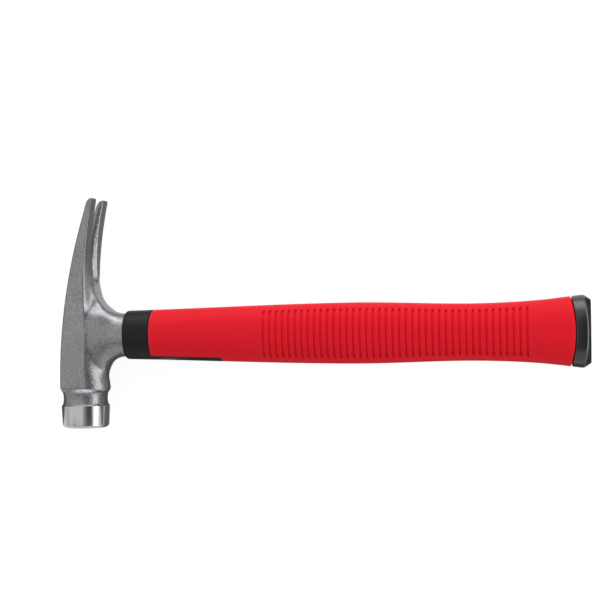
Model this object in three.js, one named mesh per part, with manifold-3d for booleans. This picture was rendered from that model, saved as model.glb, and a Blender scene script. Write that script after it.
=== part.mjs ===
// Electrician's hammer: a one-piece forged head with a split claw, bonded to an oval fibreglass
// core, and a two-colour moulded handle with a ribbed soft grip and a hard butt cap.
//
// Millimetres. The hammer lies on its side. X runs along the handle from head to butt, Y along the
// head from striking face to claw, and Z through the thickness. The axes of the head and the handle
// cross at the modelling origin, and the finished group is moved so that its own origin is the
// middle of the footprint it rests on.

import * as THREE from 'three';
import { mergeVertices } from 'three/addons/utils/BufferGeometryUtils.js';
import Module from 'manifold-3d';

// Clearance between pieces that touch
const FIT = 0.3;

// Striking face and neck, turned about the head axis
const FACE_DROP = 56.5;             // handle axis down to the striking face
const FACE_DIAMETER = 29.3;         // polished band at its upper edge
const FACE_RIM_DIAMETER = 28.3;     // polished band at its lower edge
const FACE_CHAMFER = 1.3;
const BAND_LENGTH = 13.5;           // striking face up to the top of the polished band
const BAND_SHOULDER = 1.2;          // rounded top edge of the band
const NECK_DIAMETER = 26.8;         // at its waist
const NECK_HOLLOW = 1.1;            // how much the ends of the neck stand out from its waist
const NECK_LENGTH = 8.5;            // groove between the band and the poll

// Forged body, from the poll up through the cheeks to the claw
const CHEEK_WIDTH = 25.8;           // across the flat cheeks at the poll
const CLAW_TIP_WIDTH = 29;
const CLAW_REACH = 83.5;            // handle axis up to the tips of the claw
const BACK_OFFSET = 12.2;           // head axis back to the rear face of the poll
const BACK_RADIUS = 326;            // sweep of the rear face, seen from the side
const BACK_START = -30;             // height at which the rear face starts to sweep
const BACK_CORNER = 2.4;            // rounding between the rear face and the cheeks
const CHEEK_DEPTH = 15.2;           // flat cheek, from the rear face towards the handle
const CLAW_TIP_THICKNESS = 3.2;
const CLAW_TIP_ROUNDING = 3;
const BLUNT_TIP = 0.97;             // share of a full quarter round, which leaves a narrow flat tip
const TIP_CROWN = 0.3;              // how far the handle side stands proud of the cheeks
const CLAW_ROOT_CROWN = 4.4;
const CLAW_ROOT_HEIGHT = 30;
const POLL_CROWN = 13.2;
const CROWN_GROWTH = 2.5;           // power by which the crown grows from the tips to the root
const CLAW_CROWN_POWER = 1.5;       // 2 is a round handle side, less leaves an edge along the cheek
const POLL_CROWN_POWER = 2;
const POLL_CHAMFER = 1.1;
const POLL_CHAMFER_LENGTH = 2;

// Socket that reaches from the body into the collar of the handle
const COLLAR_WALL = 1.2;            // wall of the collar round the socket
const COLLAR_SEAT = 5.6;            // how far the socket sits inside the collar
const SOCKET_ROOT_WIDTH = 26.2;
const CLAW_FILLET = 17.4;
const POLL_FILLET = 11;

// Nail slot: a tapered cut through the claw, wider on the handle side, that runs out in a scoop
const SLOT_DEPTH = 42;              // tips down to the end of the cut through the claw
const SLOT_MOUTH = 10.6;            // width at the tips, on the rear face
const SLOT_ROOT = 3.2;              // width at the end of the cut, on the rear face
const SLOT_BEVEL = 2.2;             // extra width on the handle side at the tips
const SLOT_ROOT_BEVEL = 8.5;        // extra width on the handle side at the end of the cut
const SLOT_RUNOUT = 9;              // length of the scoop below the end of the cut
const SLOT_HOLLOW = 0.75;           // share of the bevel reached half way through the claw
const SLOT_HEEL = 0.25;             // share of the width left where the scoop runs out

// Handle core and the resin that bonds it into the eye
const CORE_HEIGHT = 17;
const CORE_WIDTH = 12.4;
const BOND_WALL = 1;
const EYE_RECESS = 1;               // core and resin end this far inside the rear face

// Handle outline, as stations: distance from the station before, or from the head axis for the
// first one, then height and width
const COLLAR = { run: 28, height: 29.6, width: 26 };
const PANEL = { run: 17.2, height: 30.4, width: 26 };
const PALM = { run: 124.8, height: 36.2, width: 26.8 };
const WAIST = { run: 72, height: 33.4, width: 25.6 };
const FLARE = { run: 34, height: 36.4, width: 26.8 };
const BUTT = { run: 24, height: 41.8, width: 29 };
const SECTION_POWER = 2.3;          // 2 is an ellipse, more is squarer

// Sleeve: collar, overstrike strip and the tube under the grip
const COLLAR_ROUNDING = 1.2;
const STRIP_LENGTH = 43.2;          // collar to the end of the strip
const STRIP_DEPTH = 2.4;            // strip height, seen from the side

// Soft grip
const GRIP_WALL = 1.8;
const FRONT_PANEL_LENGTH = 69.4;    // smooth stretch between the collar and the grooves
const REAR_PLAIN_LENGTH = 23.5;     // smooth stretch between the grooves and the cap
const GROOVE_PITCH = 3.85;
const GROOVE_WIDTH = 1.8;
const GROOVE_DEPTH = 0.8;
const GROOVE_MARGIN = 3;            // ungrooved height left at the top and bottom of the grip
const GROOVE_END_TURN = 0.06;       // angle over which a groove reaches its depth

// Butt cap
const CAP_SKIRT = 6;                // widest station forward to the cap's front edge, top and bottom
const CAP_BULGE = 2.8;              // how much further back the front edge lies on the sides
const CAP_TAIL = 5;                 // widest station back to the flat end
const CAP_EDGE_LENGTH = 4;          // rounded edge between the sides and the flat end
const CAP_EDGE_DEPTH = 2.7;
const SPIGOT_LENGTH = 12;           // plug that enters the sleeve

// Facets, as steps along each curve
const SECTION_STEPS = 7;            // each quarter of a handle section
const GROOVED_STEPS = 3;            // each quarter of a grooved section, between the ends of a groove
const CROWN_STEPS = 7;
const CORNER_STEPS = 3;
const LATHE_STEPS = 48;
const NECK_STEPS = 8;
const BODY_STEPS = 24;
const TIP_STEPS = 4;
const FILLET_STEPS = 8;
const SLOT_STEPS = 6;
const SCOOP_STEPS = 4;
const HANDLE_STEPS = 20;
const STRIP_STEPS = 6;
const FRONT_PANEL_STEPS = 6;
const REAR_PLAIN_STEPS = 4;
const COLLAR_EDGE_STEPS = 3;
const CAP_EDGE_STEPS = 4;

const STEEL = new THREE.MeshStandardMaterial({ color: 0x8b8c8d, metalness: 1, roughness: 0.45 });
const BLACK_PLASTIC = new THREE.MeshStandardMaterial({ color: 0x202022, metalness: 0, roughness: 0.5 });
const RED_RUBBER = new THREE.MeshStandardMaterial({ color: 0xdc2230, metalness: 0, roughness: 0.55 });
const FIBREGLASS = new THREE.MeshStandardMaterial({ color: 0xc8b483, metalness: 0, roughness: 0.6 });
const RESIN = new THREE.MeshStandardMaterial({ color: 0xa9772c, metalness: 0, roughness: 0.35 });

const wasm = await Module();
wasm.setup();

// Closed solid through a row of rings that have the same number of points, closed at both ends.
// Rings turn anticlockwise when they are seen from the end of the row.
function loft(rings) {
  const count = rings[0].length;
  const positions = rings.flat().flatMap((point) => [point.x, point.y, point.z]);
  const indices = [];
  for (let row = 0; row + 1 < rings.length; row += 1) {
    for (let i = 0; i < count; i += 1) {
      const next = (i + 1) % count;
      const a = row * count + i;
      const b = row * count + next;
      indices.push(a, b, b + count, a, b + count, a + count);
    }
  }
  const addCap = (ring, start, flip) => {
    const centre = ring.reduce((sum, point) => sum.add(point), new THREE.Vector3());
    centre.divideScalar(count);
    const hub = positions.length / 3;
    positions.push(centre.x, centre.y, centre.z);
    for (let i = 0; i < count; i += 1) {
      const a = start + i;
      const b = start + ((i + 1) % count);
      indices.push(hub, flip ? b : a, flip ? a : b);
    }
  };
  addCap(rings[0], 0, true);
  addCap(rings.at(-1), (rings.length - 1) * count, false);
  const geometry = new THREE.BufferGeometry();
  geometry.setAttribute('position', new THREE.Float32BufferAttribute(positions, 3));
  geometry.setIndex(indices);
  return geometry;
}

// Solid that can be joined and cut, from a closed geometry
function solid(geometry) {
  const bare = geometry.clone();
  bare.deleteAttribute('normal');
  bare.deleteAttribute('uv');
  const merged = mergeVertices(bare, 1e-4);
  return new wasm.Manifold(new wasm.Mesh({
    numProp: 3,
    vertProperties: new Float32Array(merged.attributes.position.array),
    triVerts: new Uint32Array(merged.index.array),
  }));
}

// Named mesh from a finished solid
function piece(name, body, material) {
  const { vertProperties, triVerts } = body.getMesh();
  const geometry = new THREE.BufferGeometry();
  geometry.setAttribute('position', new THREE.BufferAttribute(new Float32Array(vertProperties), 3));
  geometry.setIndex(new THREE.BufferAttribute(new Uint32Array(triVerts), 1));
  geometry.computeVertexNormals();
  const mesh = new THREE.Mesh(geometry, material);
  mesh.name = name;
  return mesh;
}

const { clamp, lerp, mapLinear } = THREE.MathUtils;
const rise = (angle, power) => Math.sin(angle) ** (2 / power);
const evenSteps = (from, to, count) => (
  Array.from({ length: count + 1 }, (_, i) => lerp(from, to, i / count))
);

// Oval ring across the handle. Its upper and lower half heights may differ. Each point may be moved
// along the handle by the height at which it lies, and sunk into the side by its angle.
function ovalRing({ x, up, down = up, halfWidth, angles, shift = () => 0, inset = () => 0 }) {
  const quarter = angles.map((angle) => ({
    high: rise(Math.PI / 2 - angle, SECTION_POWER),
    wide: rise(angle, SECTION_POWER),
    cut: inset(angle),
  }));
  const corner = ({ high, wide, cut }, half, side) => new THREE.Vector3(
    x + shift(high),
    high * half,
    side * (wide * halfWidth - cut),
  );
  const forward = quarter.slice(0, -1);
  const backward = quarter.slice(1).reverse();
  return [
    ...forward.map((point) => corner(point, up, 1)),
    ...backward.map((point) => corner(point, -down, 1)),
    ...forward.map((point) => corner(point, -down, -1)),
    ...backward.map((point) => corner(point, up, -1)),
  ];
}

const QUARTER = evenSteps(0, Math.PI / 2, SECTION_STEPS);

// Places along the handle
const collarAt = COLLAR.run;
const panelAt = collarAt + PANEL.run;
const palmAt = panelAt + PALM.run;
const waistAt = palmAt + WAIST.run;
const flareAt = waistAt + FLARE.run;
const buttAt = flareAt + BUTT.run;
const capAt = buttAt - CAP_SKIRT;
const stripEnd = panelAt + STRIP_LENGTH;

// Straight oval bar along the handle, grown by a clearance all round
function ovalBar(from, to, height, width, grow = 0) {
  const ring = (x) => ovalRing({
    x,
    up: height / 2 + grow,
    halfWidth: width / 2 + grow,
    angles: QUARTER,
  });
  return solid(loft([ring(from), ring(to)]));
}

// Head

const SHOULDER = -(FACE_DROP - BAND_LENGTH - NECK_LENGTH);

const sweep = (y) => Math.max(y - BACK_START, 0) ** 2 / (2 * BACK_RADIUS);
const backX = (y) => sweep(y) - BACK_OFFSET;
const cheekHalf = (y) => mapLinear(y, SHOULDER, CLAW_REACH, CHEEK_WIDTH, CLAW_TIP_WIDTH) / 2;
const cheekDepth = (y) => mapLinear(Math.max(y, 0), 0, CLAW_REACH, CHEEK_DEPTH, CLAW_TIP_THICKNESS);

function crown(y) {
  if (y < CLAW_ROOT_HEIGHT) {
    return mapLinear(y, SHOULDER, CLAW_ROOT_HEIGHT, POLL_CROWN, CLAW_ROOT_CROWN);
  }
  const towardsRoot = mapLinear(Math.min(y, CLAW_REACH), CLAW_REACH, CLAW_ROOT_HEIGHT, 0, 1);
  return lerp(TIP_CROWN, CLAW_ROOT_CROWN, towardsRoot ** CROWN_GROWTH);
}

function crownPower(y) {
  const upBody = mapLinear(Math.min(y, CLAW_ROOT_HEIGHT), SHOULDER, CLAW_ROOT_HEIGHT, 0, 1);
  return lerp(POLL_CROWN_POWER, CLAW_CROWN_POWER, upBody);
}

const ridgeX = (y) => backX(y) + cheekDepth(y) + crown(y);

// Section of the forged body at one height: flat rear face, rounded corners, flat cheeks and a
// crowned handle side. The tip of the claw is rounded off from the rear.
function bodyRing(y, inset = 0) {
  const intoTip = Math.max(mapLinear(y, CLAW_REACH - CLAW_TIP_ROUNDING, CLAW_REACH, 0, BLUNT_TIP), 0);
  const kept = Math.sqrt(1 - intoTip ** 2);
  const cheekEnd = backX(y) + cheekDepth(y);
  const depth = (cheekDepth(y) - inset) * kept;
  const bulge = (crown(y) - inset) * kept;
  const back = cheekEnd - depth;
  const half = cheekHalf(y) - inset;
  const radius = Math.min(BACK_CORNER, depth / 2);
  const corner = evenSteps(0, Math.PI / 2, CORNER_STEPS).map((angle) => [
    back + radius * (1 - Math.cos(angle)),
    half - radius * (1 - Math.sin(angle)),
  ]);
  const handleSide = evenSteps(0, Math.PI / 2, CROWN_STEPS).map((angle) => [
    cheekEnd + bulge * rise(angle, crownPower(y)),
    half * rise(Math.PI / 2 - angle, crownPower(y)),
  ]);
  const nearHalf = [[back, 0], ...corner, ...handleSide];
  const near = nearHalf.map(([x, z]) => new THREE.Vector3(x, y, z));
  const far = nearHalf.slice(1, -1).map(([x, z]) => new THREE.Vector3(x, y, -z));
  return [...near, ...far.reverse()];
}

function forgedBody() {
  const foot = bodyRing(SHOULDER, POLL_CHAMFER);
  const tipStart = CLAW_REACH - CLAW_TIP_ROUNDING;
  const heights = [
    ...evenSteps(SHOULDER + POLL_CHAMFER_LENGTH, tipStart, BODY_STEPS),
    ...evenSteps(tipStart, CLAW_REACH, TIP_STEPS).slice(1),
  ];
  return solid(loft([foot, ...heights.map((y) => bodyRing(y))]));
}

// Striking face, polished band and neck, revolved about the head axis
function strikingEnd() {
  const bandTop = BAND_LENGTH - FACE_DROP;
  const neckTop = SHOULDER + POLL_CHAMFER_LENGTH;
  const waist = new THREE.EllipseCurve(
    NECK_DIAMETER / 2 + NECK_HOLLOW,
    (bandTop + SHOULDER) / 2,
    NECK_HOLLOW,
    NECK_LENGTH / 2,
    1.5 * Math.PI,
    0.5 * Math.PI,
    true,
  );
  const profile = [
    new THREE.Vector2(0, -FACE_DROP),
    new THREE.Vector2(FACE_RIM_DIAMETER / 2 - FACE_CHAMFER, -FACE_DROP),
    new THREE.Vector2(FACE_RIM_DIAMETER / 2, FACE_CHAMFER - FACE_DROP),
    new THREE.Vector2(FACE_DIAMETER / 2, bandTop - BAND_SHOULDER),
    ...waist.getPoints(NECK_STEPS),
    new THREE.Vector2(NECK_DIAMETER / 2, neckTop),
    new THREE.Vector2(0, neckTop),
  ];
  return solid(new THREE.LatheGeometry(profile, LATHE_STEPS));
}

// Oval socket, flared into the claw and the poll by two fillets that meet their handle sides
const socketHeight = COLLAR.height - 2 * (COLLAR_WALL + FIT);
const socketWidth = COLLAR.width - 2 * (COLLAR_WALL + FIT);
const socketEnd = collarAt + COLLAR_SEAT - FIT;
const clawFilletStart = ridgeX(socketHeight / 2 + CLAW_FILLET);
const pollFilletStart = ridgeX(-socketHeight / 2 - POLL_FILLET);

function socketShell() {
  const flare = (x, radius, start) => {
    const run = clamp(start + radius - x, 0, radius);
    return radius - Math.sqrt(radius ** 2 - run ** 2);
  };
  const clawFilletEnd = clawFilletStart + CLAW_FILLET;
  const fillet = evenSteps(0, Math.PI / 2, FILLET_STEPS).map(
    (angle) => clawFilletEnd - CLAW_FILLET * Math.cos(angle),
  );
  const stations = [0, ...fillet, socketEnd];
  return solid(loft(stations.map((x) => ovalRing({
    x,
    up: socketHeight / 2 + flare(x, CLAW_FILLET, clawFilletStart),
    down: socketHeight / 2 + flare(x, POLL_FILLET, pollFilletStart),
    halfWidth: lerp(SOCKET_ROOT_WIDTH, socketWidth, clamp(x / clawFilletEnd, 0, 1)) / 2,
    angles: QUARTER,
  }))));
}

// Cutter for the nail slot. Down to the end of the cut it passes right through the claw; below
// that its floor climbs towards the handle side and the cut runs out in a scoop.
function nailSlot() {
  const past = CLAW_TIP_THICKNESS + TIP_CROWN;
  const cutEnd = CLAW_REACH - SLOT_DEPTH;
  const section = (y, floor, narrow, wide) => {
    const front = ridgeX(y) + past;
    const waist = lerp(floor, front, 0.5);
    const middle = lerp(narrow, wide, SLOT_HOLLOW);
    return [
      [floor, narrow], [waist, middle], [front, wide],
      [front, -wide], [waist, -middle], [floor, -narrow],
    ].map(([x, z]) => new THREE.Vector3(x, y, z / 2));
  };
  const rings = [];
  for (const share of evenSteps(0, 1, SCOOP_STEPS)) {
    const climb = Math.sin((share * Math.PI) / 2);
    const y = cutEnd - SLOT_RUNOUT * (1 - share);
    const floor = lerp(ridgeX(y), backX(y) - past, climb);
    const round = lerp(SLOT_HEEL, 1, Math.sqrt(share));
    rings.push(section(y, floor, SLOT_ROOT * round, (SLOT_ROOT + SLOT_ROOT_BEVEL) * round));
  }
  for (const y of evenSteps(cutEnd, CLAW_REACH + past, SLOT_STEPS).slice(1)) {
    const narrow = mapLinear(y, cutEnd, CLAW_REACH, SLOT_ROOT, SLOT_MOUTH);
    const bevel = mapLinear(y, cutEnd, CLAW_REACH, SLOT_ROOT_BEVEL, SLOT_BEVEL);
    rings.push(section(y, backX(y) - past, narrow, narrow + bevel));
  }
  return solid(loft(rings));
}

const eyeStart = -BACK_OFFSET - BACK_CORNER;
const bondGrowth = FIT + BOND_WALL;

function makeHead() {
  const eye = ovalBar(eyeStart, socketEnd + FIT, CORE_HEIGHT, CORE_WIDTH, bondGrowth + FIT);
  const body = forgedBody().add(strikingEnd()).add(socketShell());
  return piece('head', body.subtract(nailSlot()).subtract(eye), STEEL);
}

// Core and bond

const coreStart = EYE_RECESS - BACK_OFFSET + sweep(CORE_HEIGHT / 2);
const spigotStart = capAt - SPIGOT_LENGTH;

function makeCore() {
  return piece('handle_core', ovalBar(coreStart, spigotStart - FIT, CORE_HEIGHT, CORE_WIDTH), FIBREGLASS);
}

function makeBond() {
  const outside = ovalBar(coreStart, socketEnd, CORE_HEIGHT, CORE_WIDTH, bondGrowth);
  const bore = ovalBar(coreStart - FIT, socketEnd + FIT, CORE_HEIGHT, CORE_WIDTH, FIT);
  return piece('eye_bond', outside.subtract(bore), RESIN);
}

// Handle

const outline = new THREE.CubicInterpolant(
  [collarAt, panelAt, palmAt, waistAt, flareAt, buttAt],
  [COLLAR, PANEL, PALM, WAIST, FLARE, BUTT].flatMap(({ height, width }) => [height / 2, width / 2]),
  2,
);

function halfSizes(x) {
  const [halfHeight, halfWidth] = outline.evaluate(clamp(x, collarAt, buttAt));
  return { halfHeight, halfWidth };
}

// Ring of the handle's outside at one station, drawn in by a wall
function handleRing(x, wall = 0, options = {}) {
  const { halfHeight, halfWidth } = halfSizes(x);
  return ovalRing({
    x,
    up: halfHeight - wall,
    halfWidth: halfWidth - wall,
    angles: QUARTER,
    ...options,
  });
}

function handleLoft(from, to, steps, wall = 0) {
  return solid(loft(evenSteps(from, to, steps).map((x) => handleRing(x, wall))));
}

// Block below the upper edge of the overstrike strip, raised and lengthened by a clearance
function stripBlock(clearance = 0) {
  const edge = (x) => STRIP_DEPTH - halfSizes(x).halfHeight + clearance;
  const depth = BUTT.height;
  const side = new THREE.Shape([
    new THREE.Vector2(panelAt - GRIP_WALL, -depth),
    new THREE.Vector2(stripEnd + clearance, -depth),
    new THREE.Vector2(stripEnd + clearance, edge(stripEnd)),
    new THREE.Vector2(panelAt - GRIP_WALL, edge(panelAt)),
  ]);
  const block = new THREE.ExtrudeGeometry(side, { depth, bevelEnabled: false });
  block.translate(0, 0, -depth / 2);
  return solid(block);
}

function makeSleeve() {
  const rounded = evenSteps(0, Math.PI / 2, COLLAR_EDGE_STEPS).map((angle) => handleRing(
    collarAt + COLLAR_ROUNDING * (1 - Math.cos(angle)),
    COLLAR_ROUNDING * (1 - Math.sin(angle)),
  ));
  const collar = solid(loft([...rounded, handleRing(panelAt)]));
  const tube = handleLoft(panelAt - GRIP_WALL, capAt - FIT, HANDLE_STEPS, GRIP_WALL + FIT);
  const strip = handleLoft(panelAt - GRIP_WALL, stripEnd, STRIP_STEPS).intersect(stripBlock());
  const bore = ovalBar(collarAt, capAt, CORE_HEIGHT, CORE_WIDTH, FIT);
  const seat = ovalBar(collarAt - FIT, collarAt + COLLAR_SEAT, socketHeight, socketWidth, FIT);
  const sleeve = collar.add(tube).add(strip).subtract(bore).subtract(seat);
  return piece('handle_sleeve', sleeve, BLACK_PLASTIC);
}

// Angles round one quarter of the grip, with a close pair where the grooves end
function grooveAngles(x) {
  const { halfHeight } = halfSizes(x);
  const end = Math.acos((1 - GROOVE_MARGIN / halfHeight) ** (SECTION_POWER / 2));
  return [0, end / 2, end, ...evenSteps(end + GROOVE_END_TURN, Math.PI / 2, GROOVED_STEPS)];
}

// Front edge of the cap: further back on the sides than at the top and bottom
const capEdge = (high) => CAP_BULGE * (1 - high ** 2);

function makeGrip() {
  const ring = (x, depth = 0) => {
    const angles = grooveAngles(x);
    return handleRing(x, 0, { angles, inset: (angle) => (angle > angles[2] ? depth : 0) });
  };
  const groovesFrom = panelAt + FRONT_PANEL_LENGTH;
  const groovesTo = capAt - REAR_PLAIN_LENGTH;
  const ribbed = [];
  for (let x = groovesFrom; x + GROOVE_WIDTH <= groovesTo; x += GROOVE_PITCH) {
    ribbed.push(ring(x), ring(x + GROOVE_WIDTH / 2, GROOVE_DEPTH), ring(x + GROOVE_WIDTH));
  }
  const land = GROOVE_PITCH - GROOVE_WIDTH;
  const front = evenSteps(panelAt + FIT, groovesFrom - land, FRONT_PANEL_STEPS).map((x) => ring(x));
  const rear = evenSteps(groovesTo + land, capAt - CAP_BULGE, REAR_PLAIN_STEPS).map((x) => ring(x));
  const end = capAt - FIT;
  const edge = handleRing(end, 0, { angles: grooveAngles(end), shift: capEdge });
  const skin = solid(loft([...front, ...ribbed, ...rear, edge]));
  const bore = handleLoft(panelAt, capAt + CAP_BULGE, HANDLE_STEPS, GRIP_WALL);
  return piece('soft_grip', skin.subtract(bore).subtract(stripBlock(FIT)), RED_RUBBER);
}

function makeCap() {
  const edgeStart = buttAt + CAP_TAIL - CAP_EDGE_LENGTH;
  const rounded = evenSteps(0, Math.PI / 2, CAP_EDGE_STEPS).map((angle) => handleRing(
    buttAt,
    CAP_EDGE_DEPTH * (1 - Math.cos(angle)),
    { x: edgeStart + CAP_EDGE_LENGTH * Math.sin(angle) },
  ));
  const front = handleRing(capAt, 0, { shift: capEdge });
  const shell = solid(loft([front, ...rounded]));
  const spigot = ovalBar(spigotStart, edgeStart, CORE_HEIGHT, CORE_WIDTH);
  return piece('butt_cap', shell.add(spigot), BLACK_PLASTIC);
}

const hammer = new THREE.Group();
hammer.name = 'electrician_hammer';
hammer.add(makeHead(), makeCore(), makeBond(), makeSleeve(), makeGrip(), makeCap());

const extent = new THREE.Box3().setFromObject(hammer);
const middle = extent.getCenter(new THREE.Vector3());
hammer.position.set(-middle.x, -middle.y, -extent.min.z);

export default hammer;
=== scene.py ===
"""Dressed model of an electrician's hammer, with the studio and the camera of its photograph.

The pieces are drawn in millimetres in the maker's frame: X runs along the handle from the head to
the butt, Y along the head from the striking face to the claw, and Z through the thickness, with the
axes of the head and the handle crossing at the origin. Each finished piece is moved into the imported
model's frame, which is in metres.
"""

from __future__ import annotations

import logging
import math
from collections.abc import Callable, Mapping
from dataclasses import dataclass
from enum import Enum
from functools import partial
from typing import Any

import bmesh
import bpy
from mathutils import Matrix, Vector


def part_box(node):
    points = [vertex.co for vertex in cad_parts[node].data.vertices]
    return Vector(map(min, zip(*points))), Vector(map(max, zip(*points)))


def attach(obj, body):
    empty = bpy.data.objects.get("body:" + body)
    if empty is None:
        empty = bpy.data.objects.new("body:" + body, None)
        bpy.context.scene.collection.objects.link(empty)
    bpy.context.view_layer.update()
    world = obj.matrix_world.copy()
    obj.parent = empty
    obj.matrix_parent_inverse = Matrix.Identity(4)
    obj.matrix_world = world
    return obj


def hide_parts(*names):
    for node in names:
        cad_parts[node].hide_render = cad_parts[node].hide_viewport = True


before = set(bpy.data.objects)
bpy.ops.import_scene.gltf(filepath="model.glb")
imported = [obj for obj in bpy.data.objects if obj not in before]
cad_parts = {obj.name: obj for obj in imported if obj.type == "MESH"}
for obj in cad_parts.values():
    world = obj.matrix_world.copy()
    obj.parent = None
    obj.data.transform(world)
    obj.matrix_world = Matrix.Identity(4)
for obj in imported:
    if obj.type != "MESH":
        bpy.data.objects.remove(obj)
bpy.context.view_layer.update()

LOG = logging.getLogger("electrician_hammer")
MM = 0.001
QUARTER_TURN = math.pi / 2
HEAD_AXIS = (0.0, 1.0, 0.0)
PAINTED_HIGHLIGHT = "painted_highlight"                 # mesh attribute: 1 where a pale edge highlight is painted, 0 elsewhere
RING = 96                               # vertices round most sections
FINE_RING = 128                         # vertices round the sections with the plainest reflections
ROUND_STEPS = 4                         # sections round a small rounded edge
WELD = 1e-4                             # distance under which vertices become one
TINY = 1e-6                             # keeps a divisor from 0
MIX_A, MIX_B, MIX_RESULT = 6, 7, 2      # colour sockets of a Mix node

Object = bpy.types.Object
Tree = bpy.types.NodeTree
Node = bpy.types.Node
Socket = bpy.types.NodeSocket
Inputs = tuple[dict[str, Any], dict[str, Socket]]    # plain and linked inputs of a shader
Section = Callable[[float], Vector]     # place of a vertex from its angle round a section
Place = tuple[float, float, float]


class Slot(Enum):
    """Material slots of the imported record."""

    STEEL = "forged_steel"
    BLACK = "black_plastic"
    RED = "red_rubber"
    FIBREGLASS = "fibreglass"
    RESIN = "resin"


class Cut(Enum):
    """Ways of combining two closed solids."""

    JOIN = "UNION"
    REMOVE = "DIFFERENCE"


def blend(low: float, high: float, share: float) -> float:
    """Value that lies the given share of the way from low to high."""
    return low + (high - low) * share


def share_of(value: float, low: float, high: float) -> float:
    """Share of the way from low to high at which a value lies, kept between 0 and 1."""
    return min(max((value - low) / (high - low), 0.0), 1.0)


def ease(value: float, low: float, high: float) -> float:
    """Smooth step from 0 at low to 1 at high."""
    share = share_of(value, low, high)
    return share * share * (3.0 - 2.0 * share)


def steps(low: float, high: float, count: int) -> list[float]:
    """Evenly spaced values from low to high, both ends included."""
    return [blend(low, high, i / count) for i in range(count + 1)]


def linear_colour(hex_code: str) -> tuple[float, float, float, float]:
    """Turns an sRGB hex colour into the linear colour that a shader takes.

    Args:
        hex_code: Six hex digits, red first.

    Returns:
        Linear red, green and blue, and an alpha of 1.
    """
    channels = [int(hex_code[i:i + 2], 16) / 255.0 for i in (0, 2, 4)]
    linear = [c / 12.92 if c <= 0.04045 else ((c + 0.055) / 1.055) ** 2.4 for c in channels]
    return (*linear, 1.0)


def per_metre(size_mm: float) -> float:
    """Texture scale at which one feature of a pattern is about the given size."""
    return 1.0 / (size_mm * MM)


def add_node(
    tree: Tree,
    kind: str,
    values: Mapping[Any, Any] | None = None,
    links: Mapping[Any, Socket] | None = None,
    **settings: Any,
) -> Node:
    """Adds one node to a tree, sets it and links its inputs.

    Args:
        tree: Node tree of a material or of the world.
        kind: Type name of the node.
        values: Input values by socket name or number.
        links: Sockets to link from, by the name or number of the input they feed.
        **settings: Properties of the node itself.

    Returns:
        The new node.
    """
    node = tree.nodes.new(kind)
    for name, setting in settings.items():
        setattr(node, name, setting)
    for key, value in (values or {}).items():
        node.inputs[key].default_value = value
    for key, source in (links or {}).items():
        tree.links.new(source, node.inputs[key])
    return node


def bare_tree(owner: bpy.types.Material | bpy.types.World) -> Tree:
    """Turns on the nodes of a material or a world and clears them.

    Args:
        owner: Material or world.

    Returns:
        Its empty node tree.
    """
    owner.use_nodes = True
    owner.node_tree.nodes.clear()
    return owner.node_tree


# Finishes


@dataclass(frozen=True)
class Finish:
    """One surface finish, made as a procedural material the first time that it is asked for."""

    name: str

    def material(self) -> bpy.types.Material:
        """Returns this finish's material, and makes it if it isn't there yet."""
        return bpy.data.materials.get(self.name) or self.make()

    def make(self) -> bpy.types.Material:
        """Makes the material from its node tree.

        Returns:
            The new material.
        """
        material = bpy.data.materials.new(self.name)
        tree = bare_tree(material)
        place = add_node(tree, "ShaderNodeTexCoord").outputs["Object"]
        shader = add_node(tree, "ShaderNodeBsdfPrincipled", *self.dress(tree, place))
        add_node(tree, "ShaderNodeOutputMaterial", links={"Surface": shader.outputs["BSDF"]})
        return material

    def dress(self, tree: Tree, place: Socket) -> Inputs:
        """Draws this finish's patterns.

        Args:
            tree: Node tree of the material.
            place: Object coordinates, in metres.

        Returns:
            Plain values of the shader, and the sockets that feed its other inputs.
        """
        raise NotImplementedError


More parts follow.
